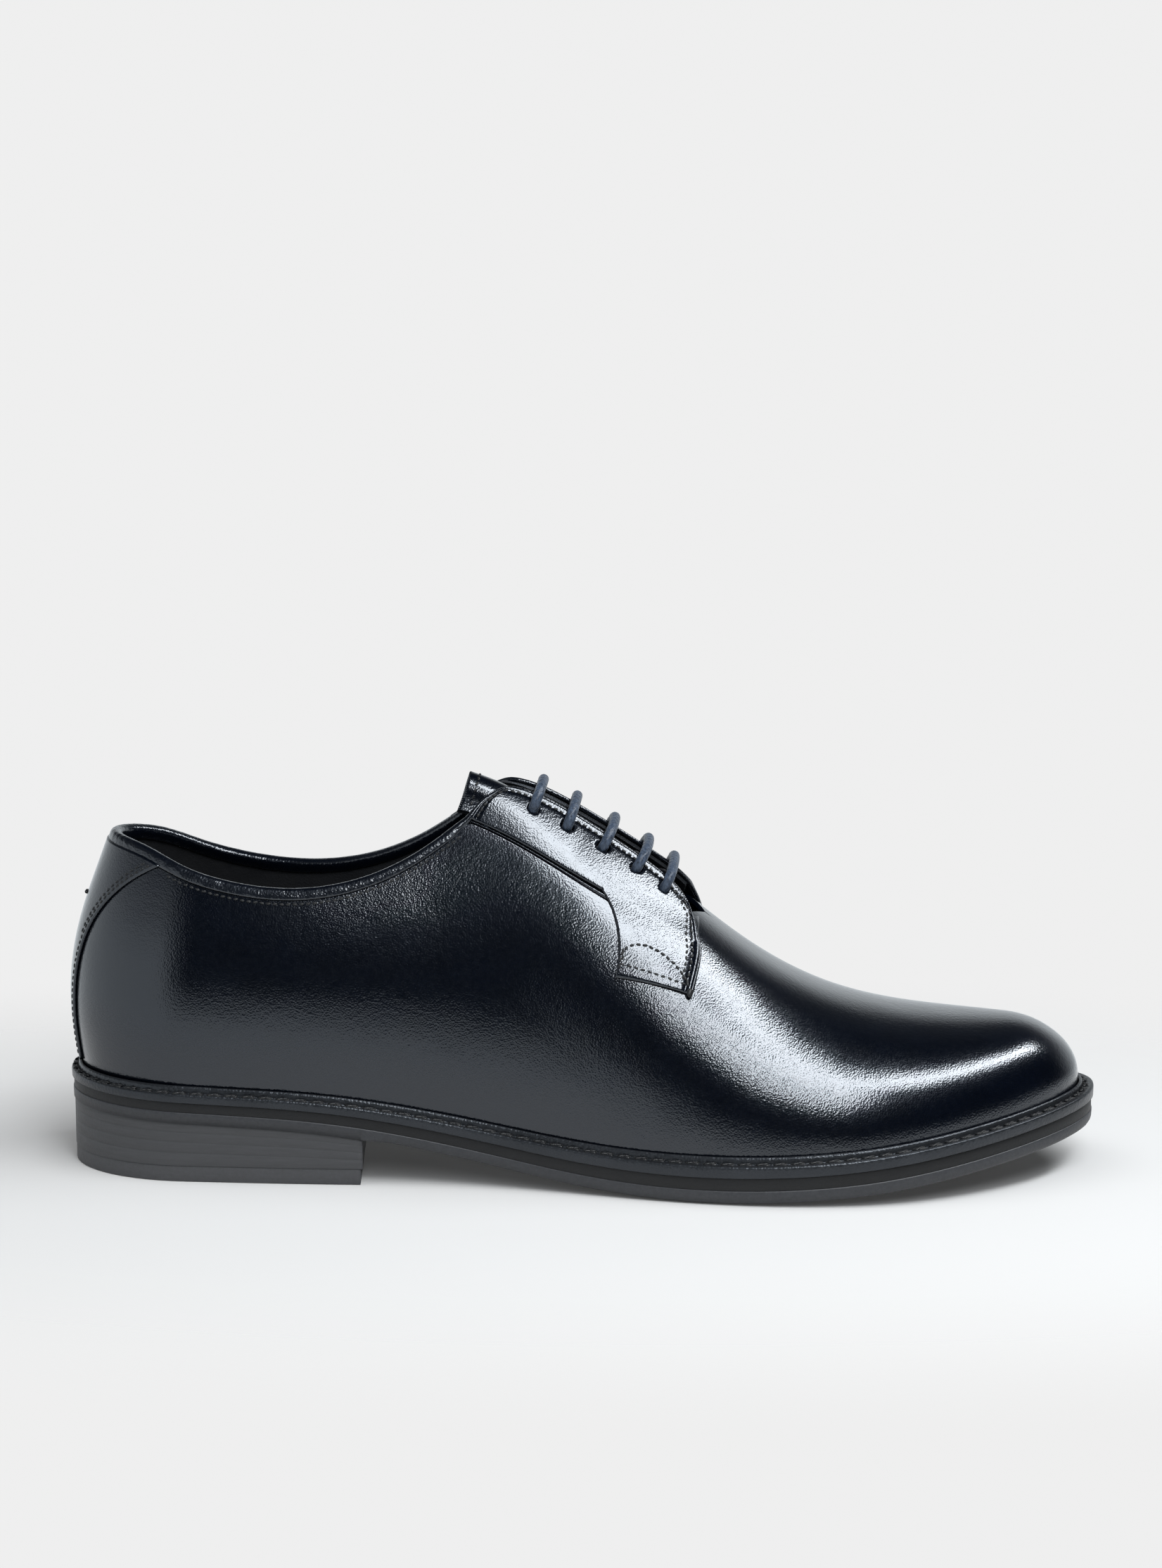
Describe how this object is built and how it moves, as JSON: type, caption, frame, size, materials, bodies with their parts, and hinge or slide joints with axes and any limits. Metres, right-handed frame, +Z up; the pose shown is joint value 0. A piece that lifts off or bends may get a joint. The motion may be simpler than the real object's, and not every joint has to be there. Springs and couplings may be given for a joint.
{
  "type": "derby shoe",
  "caption": "Plain-toe derby shoe for the right foot: open-laced leather upper on a welted sole with a stacked heel.",
  "frame": {"origin": "centre of the shoe's bounding box, on the ground", "axes": "+X from heel to toe, +Y towards the medial (inner) side, +Z up"},
  "size_m": [0.303, 0.1045, 0.1162],
  "materials": {
    "upper_leather": "polished",
    "binding_leather": "semi-gloss",
    "lining_leather": "satin",
    "canvas": "matte",
    "board": "matte",
    "sole_rubber": "satin",
    "sole_leather": "waxed",
    "welt_leather": "waxed",
    "thread": "waxed",
    "steel": "brushed",
    "cork": "matte",
    "insole_leather": "matte",
    "heel_leather": "waxed",
    "heel_rubber": "matte",
    "brass": "satin",
    "eyelet_metal": "satin",
    "lace_cotton": "waxed",
    "aglet_plastic": "gloss"
  },
  "bodies": {
    "shoe": {"vamp_quarters": "upper_leather", "backstay": "upper_leather", "topline_binding": "binding_leather", "facing_tab_lateral": "upper_leather", "facing_tab_medial": "upper_leather", "tongue_root": "upper_leather", "quarter_lining": "lining_leather", "vamp_lining": "canvas", "heel_counter": "board", "toe_puff": "board", "outsole": "sole_rubber", "midsole": "sole_leather", "welt": "welt_leather", "welt_stitching": "thread", "shank": "steel", "cork_filler": "cork", "insole": "insole_leather", "sock_lining": "lining_leather", "heel_lift_1": "heel_leather", "heel_lift_2": "heel_leather", "heel_lift_3": "heel_leather", "heel_lift_4": "heel_leather", "heel_top_piece": "heel_rubber", "heel_nails": "brass", "lace": "lace_cotton", "aglets": "aglet_plastic"},
    "lateral_flap": {"facing_lateral": "upper_leather", "facing_lining_lateral": "lining_leather", "eyelets_lateral": "eyelet_metal"},
    "medial_flap": {"facing_medial": "upper_leather", "facing_lining_medial": "lining_leather", "eyelets_medial": "eyelet_metal"},
    "tongue_flap": {"tongue": "upper_leather", "tongue_lining": "lining_leather"}
  },
  "joints": [
    {"name": "lateral_facing_hinge", "type": "hinge", "parent": "shoe", "child": "lateral_flap", "pos_m": [-0.0248, -0.0177, 0.1035], "axis": [0.8761, -0.1185, -0.4673], "range_deg": [0, 30], "stiffness_Nm_per_rad": 0.15, "deforming": ["lace"]},
    {"name": "medial_facing_hinge", "type": "hinge", "parent": "shoe", "child": "medial_flap", "pos_m": [-0.0248, 0.0128, 0.1035], "axis": [-0.8711, -0.1568, 0.4654], "range_deg": [0, 30], "stiffness_Nm_per_rad": 0.15, "deforming": ["lace"]},
    {"name": "tongue_hinge", "type": "hinge", "parent": "shoe", "child": "tongue_flap", "pos_m": [0.0268, -0.0008, 0.0745], "axis": [0, -1, 0], "range_deg": [0, 18], "stiffness_Nm_per_rad": 0.15, "deforming": ["lace"]}
  ]
}
